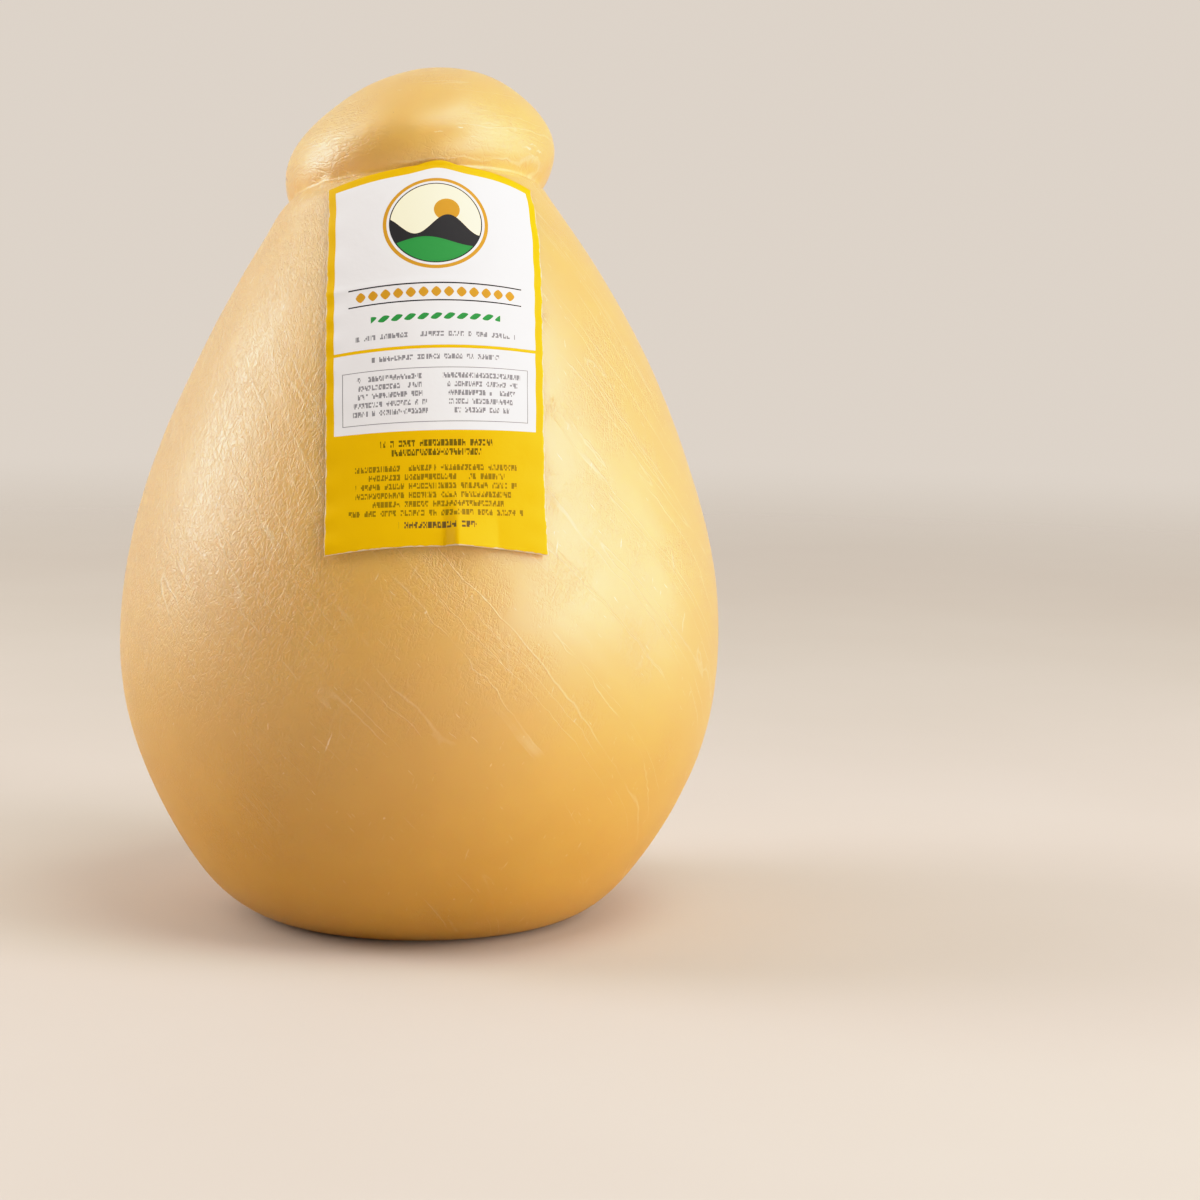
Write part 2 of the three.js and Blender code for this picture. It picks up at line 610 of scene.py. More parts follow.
@dataclass(frozen=True)
class Mark:
    """One family of small marks in the rind, each a thin spindle that follows the stretched curd."""

    run: Run
    spacing: float
    stretch: float
    thickness: float
    share: float
    tint: str
    core: float = 0.35

    def mask(self, node: AddNode, places: Places) -> bpy.types.Node:
        """Make the node that is one in the middle of a mark and zero off it.

        Args:
            node: adds a node to the material.
            places: place on the rind in millimetres, the third part being the way of the run.

        Returns:
            The node.
        """
        scale = (1 / self.spacing, 1 / self.spacing, 1 / (self.spacing * self.stretch))
        place = node(VECTORS, {0: places[self.run], 1: scale}, operation="MULTIPLY")
        cell = node("ShaderNodeTexVoronoi", {"Vector": place, "Scale": 1.0})
        reach = self.thickness / (2 * self.spacing)
        spindle = node(RANGE, {
            "Value": cell.outputs["Distance"], "From Min": self.core * reach, "From Max": reach,
            "To Min": 1.0, "To Max": 0.0,
        }, interpolation_type="SMOOTHSTEP")
        strength = node(RANGE, {
            "Value": cell.outputs["Color"], "From Min": self.share, "From Max": 0.0,
        })
        return node(MATHS, {0: spindle, 1: strength}, operation="MULTIPLY")


@dataclass(frozen=True)
class Rind:
    """Rind of aged stretched-curd cheese: dried, oiled curd skin, satin and a little translucent.

    To the eye it is straw gold, with wide soft highlights that are broken by fine winding wrinkles, and with
    thin creases and pale flecks where the curd was stretched. The colour deepens to amber towards the foot,
    most of all left of the middle, partly as the rind's own deeper colour and partly as painted shade. The
    head is paler as painted light, and the grooves of the fine wrinkles are darkened with painted shade.
    """

    straw: str = "#DEA942"
    painted_light_crown: str = "#E6B348"
    amber: str = "#C28A2E"
    ior: float = 1.5
    roughness: tuple[float, float] = (0.5, 0.6)
    rough_band: tuple[float, float] = (0.3, 0.7)
    sheen: float = 0.8
    oil_ior: float = 1.74
    oil_roughness: float = 0.4
    scatter_mm: float = 12.0
    scatter_weight: float = 0.9
    scatter_colours: tuple[float, float, float] = (1.0, 0.55, 0.22)
    blotch_mm: float = 38.0
    blotch_depth: float = 0.8
    blotch_level: float = 0.32
    patch_mm: float = 17.0
    wander_mm: float = 9.0
    wander: float = 3.0
    ripple_mm: float = 1.6
    ripple: float = 0.7
    cloud_detail: float = 3.0
    # The head is paler, which is painted light, and calmer. The rind is oiled, and more wrinkled, from low on
    # the body upwards
    head_start: tuple[float, float] = (176.0, 192.0)
    head_calm: float = 0.06
    oil_start: tuple[float, float] = (10.0, 95.0)
    least_oil: float = 0.25
    oil_wrinkling: float = 0.3
    # Amber low down, partly the rind's own deeper colour and partly painted shade: deepest left of the
    # middle, and rising less at the sides
    amber_and_painted_shade_left: float = 15.0
    amber_and_painted_shade_fall: float = 0.7
    amber_and_painted_shade_height: float = 112.0
    amber_and_painted_shade_depth: float = 0.75
    # Real wrinkles are about 0.2 mm wide: drawn coarser, so that they show
    wrinkles: tuple[Wrinkle, ...] = (
        Wrinkle(Run.ACROSS, size=1.0, stretch=2.0, width=0.25, height=-0.042, tint="#B27A30", share=0.08,
                level=0.72, slope=2.4),
        Wrinkle(Run.ALONG, size=1.5, stretch=2.6, width=0.27, height=-0.033, tint="#B27A30", share=0.06,
                level=0.78, slope=2.2),
        Wrinkle(Run.ALONG, size=10.0, stretch=12.0, width=0.34, height=0.05, tint="#FBE9C0", share=0.2,
                level=0.74, slope=-1.0),
        Wrinkle(Run.ACROSS, size=8.0, stretch=8.0, width=0.34, height=0.04, tint="#FBE9C0", share=0.05,
                level=0.82, slope=0.8),
    )
    marks: tuple[Mark, ...] = (
        Mark(Run.ALONG, spacing=1.3, stretch=9, thickness=0.34, share=0.6, tint="#FAE6BA"),
        Mark(Run.ACROSS, spacing=1.3, stretch=10, thickness=0.34, share=0.5, tint="#FAE6BA"),
        Mark(Run.ACROSS, spacing=3.0, stretch=14, thickness=0.6, share=0.5, tint="#FFF1D2"),
        Mark(Run.ACROSS, spacing=5.5, stretch=1.6, thickness=0.7, share=0.5, tint="#FFF1D2"),
        Mark(Run.ACROSS, spacing=4.5, stretch=1, thickness=0.5, share=0.5, tint="#A8762F"),
    )

    def runs(self, node: AddNode, wander: bpy.types.NodeSocket,
             ripple: bpy.types.NodeSocket) -> tuple[Places, Places]:
        """Make the places on the rind along and across the stretched curd.

        Args:
            node: adds a node to the material.
            wander: broad noise that bends the runs.
            ripple: fine noise that bends them as well.

        Returns:
            Places that wander, for wrinkles, and places that ripple too, for marks.
        """
        places, rippled = {}, {}
        for run in Run:
            straight = node("ShaderNodeAttribute", attribute_name=run.value).outputs["Vector"]
            places[run] = node(VECTORS, {
                0: wander, 1: (self.wander,) * 3, 2: straight,
            }, operation="MULTIPLY_ADD").outputs[0]
            rippled[run] = node(VECTORS, {
                0: ripple, 1: (self.ripple,) * 3, 2: places[run],
            }, operation="MULTIPLY_ADD").outputs[0]
        return places, rippled

    def ground(self, node: AddNode, blotch: bpy.types.NodeSocket, right: bpy.types.NodeSocket,
               height: bpy.types.NodeSocket, head: bpy.types.Node) -> bpy.types.NodeSocket:
        """Make the rind's colour before its wrinkles and marks.

        Args:
            node: adds a node to the material.
            blotch: broad noise that deepens the colour.
            right: distance to the right of the axis, in metres.
            height: above the floor, in metres.
            head: one on the head and zero on the body.

        Returns:
            The colour.
        """
        # Painted shade over the rind's own deeper colour: deepened to amber low on the body, most left of the
        # middle
        aside = node(MATHS, {0: right, 1: self.amber_and_painted_shade_left * MM}, operation="ADD")
        aside = node(MATHS, {0: aside}, operation="ABSOLUTE")
        rise = node(MATHS, {0: aside, 1: self.amber_and_painted_shade_fall, 2: height}, operation="MULTIPLY_ADD")
        low = node(RANGE, {
            "Value": rise, "From Max": self.amber_and_painted_shade_height * MM, "To Min": self.amber_and_painted_shade_depth, "To Max": 0.0,
        }, interpolation_type="SMOOTHSTEP")
        depth = node(MATHS, {
            0: blotch, 1: self.blotch_depth, 2: -self.blotch_level,
        }, operation="MULTIPLY_ADD")
        depth = node(MATHS, {0: low, 1: depth}, operation="ADD", use_clamp=True)
        # The paler head is painted light
        body_and_painted_light_head = node(MIX, {
            "Factor": head, UNDER: linear(self.straw), OVER: linear(self.painted_light_crown),
        }, data_type="RGBA").outputs[MIXED]
        return node(MIX, {
            "Factor": depth, UNDER: body_and_painted_light_head, OVER: linear(self.amber),
        }, data_type="RGBA").outputs[MIXED]

    def material(self) -> bpy.types.Material:
        """Make the rind's material.

        Returns:
            A material that reads Object coordinates, and the attributes fibre and weft, which run
            along the stretched curd and across it.
        """
        material = new_material("aged_stretched_curd_rind")
        node = partial(add_node, material.node_tree)
        place = node("ShaderNodeTexCoord").outputs["Object"]
        right, _, height = node("ShaderNodeSeparateXYZ", {0: place}).outputs
        blotches, patches, wander, ripple = [
            node(NOISE, {"Vector": place, "Scale": 1 / (size * MM), "Detail": self.cloud_detail})
            for size in (self.blotch_mm, self.patch_mm, self.wander_mm, self.ripple_mm)
        ]
        blotch, patch = blotches.outputs["Fac"], patches.outputs["Fac"]
        places, rippled = self.runs(node, wander.outputs["Color"], ripple.outputs["Color"])
        head, oil = [
            node(RANGE, {
                "Value": height, "From Min": start * MM, "From Max": end * MM, "To Min": least,
            }, interpolation_type=ease)
            for (start, end), least, ease in (
                (self.head_start, 0.0, "LINEAR"), (self.oil_start, self.least_oil, "SMOOTHSTEP"),
            )
        ]
        patch = node(MATHS, {0: head, 1: -self.head_calm, 2: patch}, operation="MULTIPLY_ADD")
        patch = node(MATHS, {0: oil, 1: self.oil_wrinkling, 2: patch}, operation="MULTIPLY_ADD")
        colour = self.ground(node, blotch, right, height, head)
        relief = 0.0
        for wrinkle in self.wrinkles:
            crest = wrinkle.crests(node, places, patch, right)
            relief = node(MATHS, {0: crest, 1: wrinkle.height, 2: relief}, operation="MULTIPLY_ADD")
            # A groove's dark tint is painted shade in the groove; a crest's tint is paler
            groove_shade_and_crest_tint = node(MATHS, {0: crest, 1: wrinkle.share}, operation="MULTIPLY")
            colour = node(MIX, {
                "Factor": groove_shade_and_crest_tint, UNDER: colour, OVER: linear(wrinkle.tint),
            }, data_type="RGBA").outputs[MIXED]
        for mark in self.marks:
            faded = node(MATHS, {0: mark.mask(node, rippled), 1: oil}, operation="MULTIPLY")
            colour = node(MIX, {
                "Factor": faded, UNDER: colour, OVER: linear(mark.tint),
            }, data_type="RGBA").outputs[MIXED]
        skin = node("ShaderNodeBump", {"Strength": 1.0, "Distance": MM, "Height": relief})
        rough = node(RANGE, {
            "Value": blotch, "From Min": self.rough_band[0], "From Max": self.rough_band[1],
            "To Min": self.roughness[0], "To Max": self.roughness[1],
        })
        sheen = node(MATHS, {0: oil, 1: self.sheen}, operation="MULTIPLY")
        shader = node("ShaderNodeBsdfPrincipled", {
            "Base Color": colour, "Roughness": rough, "IOR": self.ior, "Specular IOR Level": sheen,
            "Normal": skin, "Subsurface Weight": self.scatter_weight,
            "Subsurface Radius": self.scatter_colours, "Subsurface Scale": self.scatter_mm * MM,
            "Coat Weight": oil, "Coat Roughness": self.oil_roughness, "Coat IOR": self.oil_ior,
            "Coat Normal": skin,
        }, subsurface_method="BURLEY")
        node("ShaderNodeOutputMaterial", {"Surface": shader})
        return material


@dataclass
class Cheese:
    """The cheese itself, body and head in one piece."""

    form: CheeseForm
    relief: RindRelief
    finish: Rind
    sides: int = 384
    ring_spacing: float = 1.35
    crease_spacing: float = 0.45
    crease_reach: tuple[float, float] = (3.0, 12.0)
    foot_spacing: float = 6.0
    ring_stretch: float = 10.0
    # How much of the curd's winding each run follows
    windings: tuple[tuple[Run, float], ...] = ((Run.ALONG, 1.0), (Run.ACROSS, -0.4))
    merge_distance: float = 0.01

    def rings(self) -> np.ndarray:
        """Radius and height of each ring, closest together at the neck crease.

        Returns:
            One row for each ring, from the middle of the foot to the top of the head.
        """
        below = np.vstack([self.form.foot(), self.form.bowl()[1:], self.form.shoulder()[1:]])
        outline = np.vstack([below, self.form.head()[1:]])
        run = np.concatenate([[0], np.cumsum(np.linalg.norm(np.diff(outline, axis=0), axis=1))])
        off_crease = smoothstep(np.abs(run - run[len(below) - 1]), *self.crease_reach)
        spacing = self.crease_spacing + (self.ring_spacing - self.crease_spacing) * off_crease
        spacing = np.where(run < self.form.foot_radius - self.foot_spacing, self.foot_spacing, spacing)
        passed = np.concatenate([[0], np.cumsum(np.diff(run) / spacing[1:])])
        count = math.ceil(passed[-1])
        at = np.interp(np.linspace(0, passed[-1], count + 1), passed, run)
        return np.column_stack([np.interp(at, run, outline[:, 0]), np.interp(at, run, outline[:, 1])])

    def turned_mesh(self) -> bpy.types.Mesh:
        """Spin the outline round the axis, with the seam at the back.

        Returns:
            The mesh, before it leans.
        """
        shell = bmesh.new()
        outline = [shell.verts.new((0.0, radius * MM, height * MM)) for radius, height in self.rings()]
        edges = [shell.edges.new(pair) for pair in zip(outline, outline[1:])]
        bmesh.ops.spin(
            shell, geom=outline + edges, cent=(0, 0, 0), axis=(0, 0, 1), dvec=(0, 0, 0),
            angle=2 * math.pi, steps=self.sides, use_merge=True, use_duplicate=False,
        )
        bmesh.ops.remove_doubles(shell, verts=shell.verts[:], dist=self.merge_distance * MM)
        bmesh.ops.recalc_face_normals(shell, faces=shell.faces[:])
        for face in shell.faces:
            face.smooth = True
        mesh = bpy.data.meshes.new("cheese_rind")
        shell.to_mesh(mesh)
        shell.free()
        return mesh

    def mark_runs(self, mesh: bpy.types.Mesh, turned: np.ndarray) -> None:
        """Store where each vertex lies across and along the stretched curd, in millimetres.

        On the body the curd winds down and round. On the head it runs round in rings.

        Args:
            mesh: the cheese's mesh.
            turned: its vertices before they lean.
        """
        radius = np.hypot(turned[:, 0], turned[:, 1])
        height = turned[:, 2]
        angle = np.arctan2(turned[:, 0], -turned[:, 1])
        reach = self.form.belly_radius
        along = height + np.where(height < self.form.belly_height, radius, 2 * reach - radius)
        head = (height > self.form.neck_height)[:, None]
        ring = self.form.head_radius * np.column_stack([np.cos(angle) / self.ring_stretch, np.sin(angle)])
        ringed = np.column_stack([along, ring])
        for run, winding in self.windings:
            turn = angle - winding * self.relief.twist(height)
            wound = np.column_stack([reach * np.sin(turn), reach * np.cos(turn), along])
            attribute = mesh.attributes.new(run.value, "FLOAT_VECTOR", "POINT")
            attribute.data.foreach_set("vector", np.where(head, ringed, wound).astype(np.float32).ravel())

    def build(self) -> bpy.types.Object:
        """Make the cheese's mesh and put it in the scene.

        Returns:
            The cheese, without its finish.
        """
        mesh = self.turned_mesh()
        turned = read_points(mesh) / MM
        self.mark_runs(mesh, turned)
        leaning = self.form.lean(turned)
        write_points(mesh, leaning * MM)
        raised = leaning + read_points(mesh, "normal") * self.relief.at(turned)[:, None]
        raised[:, 2] = np.maximum(raised[:, 2], 0)
        write_points(mesh, raised * MM)
        return new_object("cheese_rind", mesh)

    def dress(self, piece: bpy.types.Object) -> None:
        """Give the cheese its finish and its place in the frame.

        Args:
            piece: the cheese.
        """
        piece.data.materials.append(self.finish.material())
        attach(piece, BODY)
        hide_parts("cheese")


class Ink(Enum):
    """Colours of the label's print."""

    YELLOW = "#E6B400"
    WHITE = "#E9E7E8"
    GOLD = "#CC9424"
    BLACK = "#2A292B"
    GREY = "#8B898D"
    GREEN = "#2F9142"
    OLIVE = "#6E5A08"
    CREAM = "#FBF1CF"


@dataclass(frozen=True)
class Ridge:
    """A wavy line across a landscape, such as a row of hills."""

    below: float
    rise: float
    length: float
    start: float


@dataclass(frozen=True)
class Sprigs:
    """A row of pointed shapes: leaves where they slant, diamonds where they don't.

    The size is half the width and half the height of one, and the slant its rise to the right.
    """

    y: float
    half_width: float
    pitch: float
    size: tuple[float, float]
    slant: float
    ink: Ink
    roundness: float = 1.4


@dataclass(frozen=True)
class SmallPrint:
    """Greeked text: rows of random strokes with gaps, that spell nothing.

    The start sets the draw of strokes, gaps and row lengths. Of each letter's place a share is filled,
    and shares of all letters and strokes are left out.
    """

    top: float
    half_width: float
    letter: float
    start: int
    ink: Ink
    x: float = 0.0
    count: int = 1
    pitch: float = 1.8
    fill: float = 0.7
    cover: float = 1.0
    ragged: float = 0.3
    letter_fill: float = 0.84
    letters_out: float = 0.14
    strokes_out: float = 0.3
    strokes: int = 3


class Press:
    """Prints simple shapes in flat inks, by nodes that read the label's flat place in millimetres.

    X runs right from the middle, and Y down from the neck crease.
    """

    def __init__(self, tree: bpy.types.NodeTree, width: float, height: float) -> None:
        """Find the flat place on the label, and the distance below its top edge.

        Args:
            tree: the material's node tree.
            width: of the flat label.
            height: of the flat label.
        """
        self.node = partial(add_node, tree)
        self.place, self.x, self.y = self.flat_place("flat", width, height)
        _, _, self.below_top = self.flat_place("sheet", width, height)
        self.print = self.node("ShaderNodeRGB").outputs[0]
        self.print.default_value = linear(Ink.YELLOW.value)

    def flat_place(self, uv_map: str, width: float, height: float) -> tuple[bpy.types.NodeSocket, ...]:
        """Read a UV map as a place in millimetres.

        Args:
            uv_map: its name.
            width: of the flat label.
            height: of the flat label.

        Returns:
            The place, and its parts to the right and downwards.
        """
        place = self.node(VECTORS, {
            0: self.node("ShaderNodeUVMap", uv_map=uv_map),
            1: (width, -height, 0),
            2: (-width / 2, height, 0),
        }, operation="MULTIPLY_ADD").outputs[0]
        split = self.node("ShaderNodeSeparateXYZ", {0: place})
        return place, split.outputs["X"], split.outputs["Y"]

    def draw(self, *parts: bpy.types.Node) -> bpy.types.Node:
        """Draw a number between 0 and 1 for each cell of two or three whole numbers."""
        cell = self.node("ShaderNodeCombineXYZ", dict(enumerate(parts)))
        return self.node("ShaderNodeTexWhiteNoise", {"Vector": cell})

    def both(self, *masks: bpy.types.Node) -> bpy.types.Node:
        """Join masks.

        Args:
            masks: two or more.

        Returns:
            Mask of where all of them hold.
        """
        joint = masks[0]
        for mask in masks[1:]:
            joint = self.node(MATHS, {0: joint, 1: mask}, operation="MULTIPLY")
        return joint

    def box(self, x: float, y: float, width: float, height: float) -> bpy.types.Node:
        """Mask of a rectangle.

        Args:
            x: of its middle.
            y: of its middle.
            width: from side to side.
            height: from top to bottom.

        Returns:
            The mask.
        """
        return self.both(
            self.node(MATHS, {0: self.x, 1: x, 2: width / 2}, operation="COMPARE"),
            self.node(MATHS, {0: self.y, 1: y, 2: height / 2}, operation="COMPARE"),
        )

    def frame(self, y: float, width: float, height: float, line: float) -> bpy.types.Node:
        """Mask of the outline of a rectangle on the middle line, of that line width."""
        inside = self.box(0, y, width - 2 * line, height - 2 * line)
        return self.node(MATHS, {0: self.box(0, y, width, height), 1: inside}, operation="SUBTRACT")

    def reach(self, x: float, y: float) -> bpy.types.NodeSocket:
        """Distance from a point of the label."""
        return self.node(VECTORS, {0: self.place, 1: (x, y, 0)}, operation="DISTANCE").outputs["Value"]

    def disc(self, x: float, y: float, radius: float) -> bpy.types.Node:
        """Mask of a disc."""
        return self.node(MATHS, {0: self.reach(x, y), 1: radius}, operation="LESS_THAN")

    def ring(self, y: float, radius: float, line: float) -> bpy.types.Node:
        """Mask of a ring on the middle line, of that line width."""
        return self.node(MATHS, {0: self.reach(0, y), 1: radius, 2: line / 2}, operation="COMPARE")

    def below_ridge(self, y: float, ridge: Ridge) -> bpy.types.Node:
        """Mask of what lies below a wavy line.

        Args:
            y: place that the line is measured down from.
            ridge: the line.

        Returns:
            The mask.
        """
        turn = self.node(MATHS, {
            0: self.x, 1: 2 * math.pi / ridge.length, 2: ridge.start,
        }, operation="MULTIPLY_ADD")
        wave = self.node(MATHS, {0: turn}, operation="SINE")
        line = self.node(MATHS, {0: wave, 1: -ridge.rise, 2: y + ridge.below}, operation="MULTIPLY_ADD")
        return self.node(MATHS, {0: self.y, 1: line}, operation="GREATER_THAN")

    def sprigs(self, row: Sprigs) -> bpy.types.Node:
        """Mask of a row of pointed shapes.

        Args:
            row: the shapes and their place.

        Returns:
            The mask.
        """
        local = self.node(MATHS, {0: self.x, 1: row.pitch / 2, 2: -row.pitch / 2}, operation="WRAP")
        down = self.node(MATHS, {0: self.y, 1: row.y}, operation="SUBTRACT")
        lift = self.node(MATHS, {0: local, 1: row.slant, 2: down}, operation="MULTIPLY_ADD")
        extent = 0.0
        for part, half in zip((local, lift), row.size):
            distance = self.node(MATHS, {0: part}, operation="ABSOLUTE")
            share = self.node(MATHS, {0: distance, 1: half}, operation="DIVIDE")
            power = self.node(MATHS, {0: share, 1: row.roundness}, operation="POWER")
            extent = self.node(MATHS, {0: power, 1: extent}, operation="ADD")
        return self.both(
            self.node(MATHS, {0: extent, 1: 1.0}, operation="LESS_THAN"),
            self.node(MATHS, {0: self.x, 1: 0.0, 2: row.half_width}, operation="COMPARE"),
        )

    def small_print(self, text: SmallPrint) -> bpy.types.Node:
        """Mask of greeked text.

        Args:
            text: its rows and their place.

        Returns:
            The mask.
        """
        from_top = self.node(MATHS, {0: self.y, 1: text.top}, operation="SUBTRACT")
        turn = self.node(MATHS, {0: from_top, 1: text.pitch}, operation="DIVIDE")
        row = self.node(MATHS, {0: turn}, operation="FLOOR")
        row = self.node(MATHS, {0: row, 1: text.start}, operation="ADD")
        height = self.node(MATHS, {0: turn}, operation="FRACT")
        height = self.node(MATHS, {0: height, 1: text.fill}, operation="DIVIDE")
        column = self.node(MATHS, {0: self.x, 1: text.letter}, operation="DIVIDE")
        strokes = []
        for part in (column, height):
            finer = self.node(MATHS, {0: part, 1: text.strokes}, operation="MULTIPLY")
            strokes.append(self.node(MATHS, {0: finer}, operation="FLOOR"))
        stroke = self.draw(strokes[0], row, strokes[1])
        letter = self.draw(row, self.node(MATHS, {0: column}, operation="FLOOR"))
        in_letter = self.node(MATHS, {0: column}, operation="FRACT")
        half_row = self.node(MATHS, {
            0: self.draw(row, row), 1: text.ragged * text.half_width, 2: (1 - text.ragged) * text.half_width,
        }, operation="MULTIPLY_ADD")
        half_block = text.count * text.pitch / 2
        return self.both(
            self.node(MATHS, {0: letter, 1: text.letters_out}, operation="GREATER_THAN"),
            self.node(MATHS, {0: stroke, 1: text.strokes_out}, operation="GREATER_THAN"),
            self.node(MATHS, {0: in_letter, 1: text.letter_fill}, operation="LESS_THAN"),
            self.node(MATHS, {0: height, 1: 1.0}, operation="LESS_THAN"),
            self.node(MATHS, {0: self.x, 1: text.x, 2: half_row}, operation="COMPARE"),
            self.node(MATHS, {0: self.y, 1: text.top + half_block, 2: half_block}, operation="COMPARE"),
        )

    def lay(self, mask: bpy.types.Node, ink: Ink, cover: float = 1.0) -> None:
        """Lay an ink over what is printed so far.

        Args:
            mask: where the ink goes.
            ink: its colour.
            cover: share of it that shows.
        """
        factor = self.node(MATHS, {0: mask, 1: cover}, operation="MULTIPLY")
        self.print = self.node(MIX, {
            "Factor": factor, UNDER: self.print, OVER: linear(ink.value),
        }, data_type="RGBA").outputs[MIXED]


@dataclass(frozen=True)
class Medallion:
    """A round landscape with a sun, hills and a meadow, in a double ring."""

    y: float = 16.6
    radius: float = 12.2
    rim: float = 0.9
    inset: float = 1.2
    line: float = 0.3
    sun_right: float = 2.6
    sun_up: float = 3.4
    sun_radius: float = 3.1
    hills: Ridge = Ridge(below=0.6, rise=2.6, length=15.5, start=0.4)
    meadow: Ridge = Ridge(below=5.2, rise=1.1, length=23.0, start=2.3)

    def lay(self, press: Press) -> None:
        """Print the medallion.

        Args:
            press: prints it.
        """
        inside = press.disc(0, self.y, self.radius - self.inset)
        press.lay(inside, Ink.CREAM)
        press.lay(press.disc(self.sun_right, self.y - self.sun_up, self.sun_radius), Ink.GOLD)
        press.lay(press.both(inside, press.below_ridge(self.y, self.hills)), Ink.BLACK)
        press.lay(press.both(inside, press.below_ridge(self.y, self.meadow)), Ink.GREEN)
        press.lay(press.ring(self.y, self.radius, self.rim), Ink.GOLD)
        press.lay(press.ring(self.y, self.radius - self.inset, self.line), Ink.BLACK)


@dataclass(frozen=True)
class LabelPrint:
    """Offset-printed label paper: flat inks under a thin varnish, semi-gloss, with soft handling creases.

    The design is generic: a yellow ground, a white panel with a landscape medallion, and greeked rows.
    The back and the cut edge are bare paper: uncoated and matt, with a faint mottle of fibres.
    """

    width: float
    height: float
    border: float = 2.15
    top_border: float = 2.3
    panel_foot: float = 69.2
    medallion: Medallion = Medallion()
    # Thin lines above and below the diamonds, a yellow rule between the first grey rows, and a frame
    line_places: tuple[float, float] = (33.0, 37.4)
    line_length: float = 42.0
    line_width: float = 0.35
    rule_place: float = 49.0
    rule_width: float = 0.8
    frame_place: float = 60.6
    frame_size: tuple[float, float] = (45.0, 13.2)
    frame_line: float = 0.2
    ornaments: tuple[Sprigs, ...] = (
        Sprigs(y=35.2, half_width=19.5, pitch=3.0, size=(1.2, 1.3), slant=0.0, ink=Ink.GOLD),
        Sprigs(y=41.4, half_width=15.5, pitch=3.1, size=(1.4, 0.8), slant=0.35, ink=Ink.GREEN),
    )
    texts: tuple[SmallPrint, ...] = (
        SmallPrint(top=45.2, half_width=20.5, letter=0.95, start=5, ink=Ink.GREY),
        SmallPrint(top=50.8, half_width=20.5, letter=0.9, start=11, ink=Ink.GREY),
        SmallPrint(top=55.4, half_width=9.6, letter=0.85, start=16, ink=Ink.GREY, x=-11.0,
                   count=5, pitch=2.1, fill=0.62),
        SmallPrint(top=55.4, half_width=9.6, letter=0.85, start=30, ink=Ink.GREY, x=11.0,
                   count=5, pitch=2.1, fill=0.62),
        SmallPrint(top=71.4, half_width=14.0, letter=1.0, start=41, ink=Ink.OLIVE,
                   count=2, pitch=2.2, fill=0.72),
        SmallPrint(top=77.4, half_width=22.5, letter=0.95, start=53, ink=Ink.OLIVE,
                   count=6, pitch=2.15, fill=0.66, cover=0.8),
        SmallPrint(top=91.0, half_width=10.5, letter=1.1, start=67, ink=Ink.BLACK, pitch=2.2, cover=0.85),
    )
    ior: float = 1.47
    roughness: float = 0.45
    gloss: float = 0.09
    crumple_mm: float = 9.0
    crumple_height: float = 0.5
    crumple_strength: float = 0.6
    nick_mm: float = 2.4
    nick_band: tuple[float, float] = (0.4, 0.75)
    nick_depth: tuple[float, float] = (0.06, 0.4)
    nick_cover: float = 0.5
    bare_colours: tuple[str, str] = ("#EFE9DC", "#DDD3BF")
    bare_roughness: float = 0.8
    fibre_mm: float = 1.2

    def design(self, press: Press) -> None:
        """Print the whole label.

        Args:
            press: prints it.
        """
        panel_width = self.width - 2 * self.border
        panel = press.both(
            press.node(MATHS, {0: press.x, 1: 0.0, 2: panel_width / 2}, operation="COMPARE"),
            press.node(MATHS, {0: press.below_top, 1: self.top_border}, operation="GREATER_THAN"),
            press.node(MATHS, {0: press.y, 1: self.panel_foot}, operation="LESS_THAN"),
        )
        press.lay(panel, Ink.WHITE)
        self.medallion.lay(press)
        for y in self.line_places:
            press.lay(press.box(0, y, self.line_length, self.line_width), Ink.BLACK)
        press.lay(press.box(0, self.rule_place, panel_width, self.rule_width), Ink.YELLOW)
        press.lay(press.frame(self.frame_place, *self.frame_size, self.frame_line), Ink.GREY)
        for row in self.ornaments:
            press.lay(press.sprigs(row), row.ink)
        for text in self.texts:
            press.lay(press.small_print(text), text.ink, text.cover)
        press.lay(self.worn_edge(press), Ink.WHITE, self.nick_cover)

    def worn_edge(self, press: Press) -> bpy.types.Node:
        """Find where the ink has come off along the sides and the foot.

        Args:
            press: prints the label.

        Returns:
            Mask of the nicks.
        """
        cloud = press.node(NOISE, {"Vector": press.place, "Scale": 1 / self.nick_mm})
        depth = press.node(RANGE, {
            "Value": cloud.outputs["Fac"], "From Min": self.nick_band[0], "From Max": self.nick_band[1],
            "To Min": self.nick_depth[0], "To Max": self.nick_depth[1],
        })
        aside = press.node(MATHS, {0: press.x}, operation="ABSOLUTE")
        from_side = press.node(MATHS, {0: self.width / 2, 1: aside}, operation="SUBTRACT")
        from_foot = press.node(MATHS, {0: self.height, 1: press.below_top}, operation="SUBTRACT")
        nearest = press.node(MATHS, {0: from_side, 1: from_foot}, operation="MINIMUM")
        return press.node(MATHS, {0: nearest, 1: depth}, operation="LESS_THAN")

    def printed(self) -> bpy.types.Material:
        """Make the material of the label's face.

        Returns:
            A material that reads Object coordinates and the label's two UV maps.
        """
        material = new_material("varnished_label_paper")
        node = partial(add_node, material.node_tree)
        press = Press(material.node_tree, self.width, self.height)
        self.design(press)
        place = node("ShaderNodeTexCoord").outputs["Object"]
        crumple = node(NOISE, {
            "Vector": place, "Scale": 1 / (self.crumple_mm * MM), "Detail": 4.0, "Roughness": 0.5,
        }).outputs["Fac"]
        buckled = node("ShaderNodeBump", {
            "Strength": self.crumple_strength, "Distance": self.crumple_height * MM, "Height": crumple,
        })
        shader = node("ShaderNodeBsdfPrincipled", {
            "Base Color": press.print, "Roughness": self.roughness, "IOR": self.ior, "Normal": buckled,
            "Specular IOR Level": self.gloss,
        })
        node("ShaderNodeOutputMaterial", {"Surface": shader})
        return material

